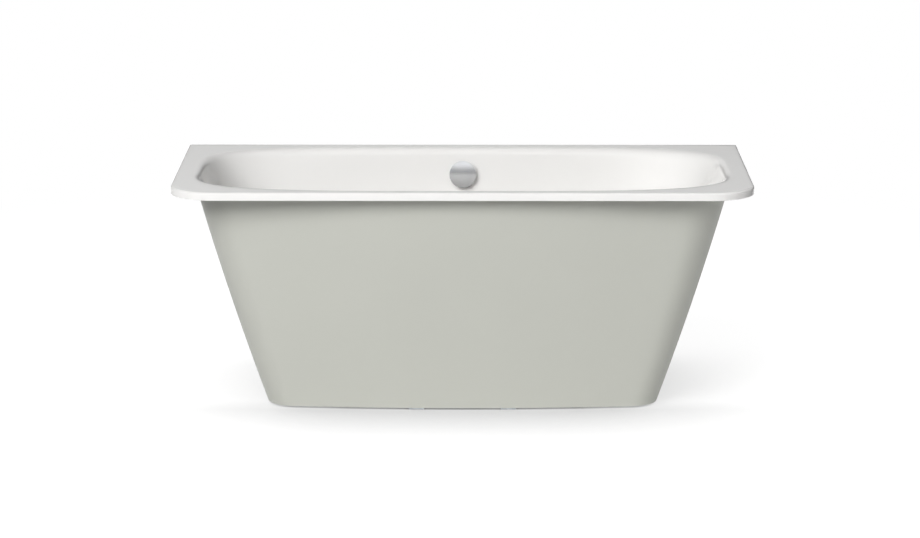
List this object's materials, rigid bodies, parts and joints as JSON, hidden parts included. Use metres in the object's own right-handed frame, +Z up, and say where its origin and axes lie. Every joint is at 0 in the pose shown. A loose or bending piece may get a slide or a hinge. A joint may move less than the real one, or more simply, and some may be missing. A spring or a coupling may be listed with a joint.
{
  "type": "bathtub",
  "caption": "Wall-side bath of enamelled steel with a broad rim, sloped ends, central drain and overflow knob, a tapered one-piece skirt, levelling feet and a cable-worked plug.",
  "frame": {"origin": "on the floor below the centre of the drain, at the middle of the bath's length and depth", "axes": "+X along the bath to the right seen from the room, +Y towards the wall, +Z up"},
  "size_m": [1.5, 0.7, 0.6],
  "materials": {
    "white_enamel": "glossy enamel",
    "grey_enamel": "satin pale grey-green",
    "chrome": "polished",
    "plate_plastic": "bright grey",
    "black_plastic": "moulded",
    "white_plastic": "moulded",
    "grey_plastic": "moulded",
    "foot_plastic": "moulded",
    "cable_sheath": "smooth",
    "black_rubber": "matt",
    "bitumen": "rough",
    "brass": "turned",
    "zinc_steel": "zinc plated"
  },
  "bodies": {
    "bath": {"cleaning_cap": "black_plastic", "drain_body": "black_plastic", "drain_flange_gasket": "black_rubber", "drain_gasket": "black_rubber", "drain_strainer": "chrome", "earth_bolt": "zinc_steel", "earth_nut": "zinc_steel", "earth_tab": "zinc_steel", "floor_angle_front_left": "zinc_steel", "floor_angle_front_right": "zinc_steel", "floor_angle_left": "zinc_steel", "floor_angle_right": "zinc_steel", "hook_cushions": "black_rubber", "lever_pin": "zinc_steel", "lift_cable": "cable_sheath", "lock_nuts": "zinc_steel", "lower_hose_nut": "white_plastic", "outlet_elbow": "black_plastic", "outlet_union_nut": "white_plastic", "overflow_body": "black_plastic", "overflow_gasket": "black_rubber", "overflow_hose": "white_plastic", "overflow_plate": "plate_plastic", "overflow_screws": "zinc_steel", "rail_cushion_left": "black_rubber", "rail_cushion_right": "black_rubber", "skirt": "grey_enamel", "skirt_clips": "zinc_steel", "sound_mat_left": "bitumen", "sound_mat_right": "bitumen", "support_rail_left": "zinc_steel", "support_rail_right": "zinc_steel", "trap": "black_plastic", "trap_union_nut": "white_plastic", "tub": "white_enamel", "upper_hose_nut": "white_plastic", "wall_hook_left": "zinc_steel", "wall_hook_right": "zinc_steel"},
    "knob": {"overflow_knob": "chrome", "knob_spindle": "brass"},
    "plug": {"plug_cap": "chrome", "plug_stem": "brass", "plug_seal": "black_rubber"},
    "lever": {"lift_lever": "grey_plastic"},
    "foot_front_left": {"foot_pad_front_left": "foot_plastic", "foot_sole_front_left": "black_rubber"},
    "stud_front_left": {"foot_stud_front_left": "zinc_steel"},
    "foot_front_right": {"foot_pad_front_right": "foot_plastic", "foot_sole_front_right": "black_rubber"},
    "stud_front_right": {"foot_stud_front_right": "zinc_steel"},
    "foot_rear_left": {"foot_pad_rear_left": "foot_plastic", "foot_sole_rear_left": "black_rubber"},
    "stud_rear_left": {"foot_stud_rear_left": "zinc_steel"},
    "foot_rear_right": {"foot_pad_rear_right": "foot_plastic", "foot_sole_rear_right": "black_rubber"},
    "stud_rear_right": {"foot_stud_rear_right": "zinc_steel"}
  },
  "joints": [
    {"name": "knob_turn", "type": "hinge", "parent": "bath", "child": "knob", "pos_m": [0, 0.29215, 0.528], "axis": [0, -0.9903, 0.1392], "range_deg": [0, 90]},
    {"name": "plug_lift", "type": "slide", "parent": "bath", "child": "plug", "axis": [0, 0, 1], "range_m": [0, 0.012]},
    {"name": "lever_swing", "type": "hinge", "parent": "bath", "child": "lever", "pos_m": [0.016, 0, 0.122], "axis": [0, 1, 0], "range_deg": [0, 44.05]},
    {"name": "foot_slide_front_left", "type": "slide", "parent": "bath", "child": "foot_front_left", "axis": [0, 0, -1], "range_m": [-0.01, 0.015]},
    {"name": "stud_turn_front_left", "type": "hinge", "parent": "foot_front_left", "child": "stud_front_left", "pos_m": [-0.3, -0.165, 0.08], "axis": [0, 0, -1], "range_deg": [-2400, 3600]},
    {"name": "foot_slide_front_right", "type": "slide", "parent": "bath", "child": "foot_front_right", "axis": [0, 0, -1], "range_m": [-0.01, 0.015]},
    {"name": "stud_turn_front_right", "type": "hinge", "parent": "foot_front_right", "child": "stud_front_right", "pos_m": [0.3, -0.165, 0.08], "axis": [0, 0, -1], "range_deg": [-2400, 3600]},
    {"name": "foot_slide_rear_left", "type": "slide", "parent": "bath", "child": "foot_rear_left", "axis": [0, 0, -1], "range_m": [-0.01, 0.015]},
    {"name": "stud_turn_rear_left", "type": "hinge", "parent": "foot_rear_left", "child": "stud_rear_left", "pos_m": [-0.3, 0.165, 0.08], "axis": [0, 0, -1], "range_deg": [-2400, 3600]},
    {"name": "foot_slide_rear_right", "type": "slide", "parent": "bath", "child": "foot_rear_right", "axis": [0, 0, -1], "range_m": [-0.01, 0.015]},
    {"name": "stud_turn_rear_right", "type": "hinge", "parent": "foot_rear_right", "child": "stud_rear_right", "pos_m": [0.3, 0.165, 0.08], "axis": [0, 0, -1], "range_deg": [-2400, 3600]}
  ],
  "couplings": [
    {"joint": "plug_lift", "follows": "knob_turn", "m_per_rad": 0.0076394},
    {"joint": "lever_swing", "follows": "knob_turn", "ratio": 0.48943},
    {"joint": "stud_turn_front_left", "follows": "foot_slide_front_left", "rad_per_m": 4188.8},
    {"joint": "stud_turn_front_right", "follows": "foot_slide_front_right", "rad_per_m": 4188.8},
    {"joint": "stud_turn_rear_left", "follows": "foot_slide_rear_left", "rad_per_m": 4188.8},
    {"joint": "stud_turn_rear_right", "follows": "foot_slide_rear_right", "rad_per_m": 4188.8}
  ]
}
